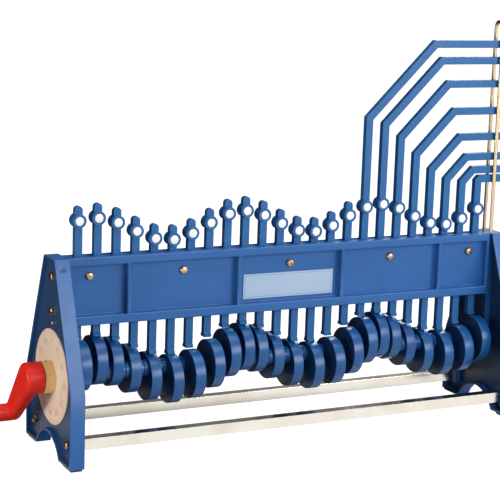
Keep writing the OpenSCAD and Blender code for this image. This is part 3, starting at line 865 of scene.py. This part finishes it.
# Levels are (dim, bright), and a span is where the one fades into the other towards the bright side. The
# strip is (middle, half width) in metres along the same direction.
floorLook = {"size": 60, "matt": (0.42, 0.42, 0.42, 1), "glow": 1.71, "glowShare": 0.62,
             "brightSide": (0.08, -0.99, 0), "mirrored": (0.03, 0.95), "mirroredSpan": (-0.03, 0.05),
             "strip": (-0.130, 0.055), "stripLevel": 0.5}


# A matt floor that glows for the camera; in mirrors it is bright in front of the object and in a strip
# behind it, and dim elsewhere.
def makeFloor():
    bm = bmesh.new()
    bmesh.ops.create_grid(bm, x_segments=1, y_segments=1, size=floorLook["size"])
    floor = pieceFrom(bm, "floor")
    material = bpy.data.materials.new("floor")
    material.use_nodes = True
    tree = material.node_tree
    tree.nodes.clear()
    out = addNode(tree, "ShaderNodeOutputMaterial")
    matt = addNode(tree, "ShaderNodeBsdfDiffuse", values={"Color": floorLook["matt"]})
    glow = addNode(tree, "ShaderNodeEmission", values={"Color": white, "Strength": floorLook["glow"]})
    mirrored = addNode(tree, "ShaderNodeEmission", values={"Color": white})
    path = addNode(tree, "ShaderNodeLightPath")
    side = vectorMaths(tree, "DOT_PRODUCT", coordinates(tree, "Object"), floorLook["brightSide"])
    front = spread(tree, side, *floorLook["mirrored"], *floorLook["mirroredSpan"])
    inStrip = maths(tree, "COMPARE", side, *floorLook["strip"])
    strip = maths(tree, "MULTIPLY", inStrip, floorLook["stripLevel"])
    tree.links.new(maths(tree, "MAXIMUM", strip, front), mirrored.inputs["Strength"])
    share = maths(tree, "MULTIPLY", path.outputs["Is Camera Ray"], floorLook["glowShare"])
    seen = mixShaders(tree, share, matt, glow)
    tree.links.new(mixShaders(tree, path.outputs["Is Glossy Ray"], seen, mirrored).outputs[0], out.inputs[0])
    dress(floor, material)


# Levels and spans as for the floor.
room = {"backdrop": 1.0, "brightSide": (0.55, -0.72, 0.42), "fill": (0.03, 0.44), "fillSpan": (-0.5, 0.9),
        "fillColour": (0.95, 0.97, 1, 1), "mirrored": (0.04, 0.70), "mirroredSpan": (-0.5, 0.8)}


# A room that is bright in front and to the right, and dim to the left and behind.
def makeWorld():
    world = bpy.data.worlds.new("studio")
    bpy.context.scene.world = world
    world.use_nodes = True
    tree = world.node_tree
    tree.nodes.clear()
    out = addNode(tree, "ShaderNodeOutputWorld")
    side = vectorMaths(tree, "DOT_PRODUCT", coordinates(tree, "Generated"), room["brightSide"])
    seen = addNode(tree, "ShaderNodeBackground", values={"Color": white, "Strength": room["backdrop"]})
    mirrored = addNode(tree, "ShaderNodeBackground", values={"Color": white})
    lit = addNode(tree, "ShaderNodeBackground", values={"Color": room["fillColour"]})
    tree.links.new(spread(tree, side, *room["mirrored"], *room["mirroredSpan"]), mirrored.inputs["Strength"])
    tree.links.new(spread(tree, side, *room["fill"], *room["fillSpan"]), lit.inputs["Strength"])
    path = addNode(tree, "ShaderNodeLightPath")
    unseen = mixShaders(tree, path.outputs["Is Glossy Ray"], lit, mirrored)
    tree.links.new(mixShaders(tree, path.outputs["Is Camera Ray"], unseen, seen).outputs[0], out.inputs[0])


# Each lamp is a soft rectangle of light aimed at its target, with its power in watts.
lamps = {
    "overhead": {"place": (0.3, -0.35, 2.0), "target": (0, 0, 0.2), "size": (1.6, 1.2), "power": 13,
                 "colour": (1, 1, 1)},
    "front": {"place": (0.62, -1.52, 0.72), "target": (0.05, 0, 0.2), "size": (1.5, 0.75), "power": 20,
              "colour": (1, 1, 1)},
    "left": {"place": (-1.2, -0.18, 0.28), "target": (-0.3, 0, 0.10), "size": (0.3, 0.3), "power": 5,
             "colour": (1.0, 0.82, 0.66)},
    "back": {"place": (1.5, 1.2, 1.5), "target": (0, 0, 0.2), "size": (1.2, 0.8), "power": 26,
             "colour": (1, 1, 1)}}


def makeLamp(name, lamp):
    light = bpy.data.lights.new(name, "AREA")
    light.shape = "RECTANGLE"
    light.size, light.size_y = lamp["size"]
    light.energy = lamp["power"]
    light.color = lamp["colour"]
    piece = newPiece(name, light)
    piece.location = lamp["place"]
    aim = Vector(lamp["target"]) - Vector(lamp["place"])
    piece.rotation_euler = aim.to_track_quat("-Z", "Y").to_euler()


# Angles are in radians, the lens and its sensor in millimetres as Blender takes them.
view = {"position": (-0.8984, -1.7989, 0.6294), "yaw": 0.4663, "pitch": 0.1911, "roll": 0.0339,
        "lens": 115.84, "sensor": 36}


def makeCamera():
    yaw, pitch, roll = view["yaw"], view["pitch"], view["roll"]
    forward = Vector((math.sin(yaw) * math.cos(pitch), math.cos(yaw) * math.cos(pitch), -math.sin(pitch)))
    level = Vector((math.cos(yaw), -math.sin(yaw), 0))
    upright = level.cross(forward)
    right = math.cos(roll) * level + math.sin(roll) * upright
    up = math.cos(roll) * upright - math.sin(roll) * level
    data = bpy.data.cameras.new("camera")
    data.lens = view["lens"]
    data.sensor_width = view["sensor"]
    camera = newPiece("camera", data)
    turn = Matrix((right, up, -forward)).transposed()
    camera.matrix_world = Matrix.Translation(view["position"]) @ turn.to_4x4()
    bpy.context.scene.camera = camera


makeFloor()
makeWorld()
makeCamera()
for name, lamp in lamps.items():
    makeLamp(name, lamp)
bpy.context.scene.view_settings.view_transform = "Standard"
print("stage: studio")
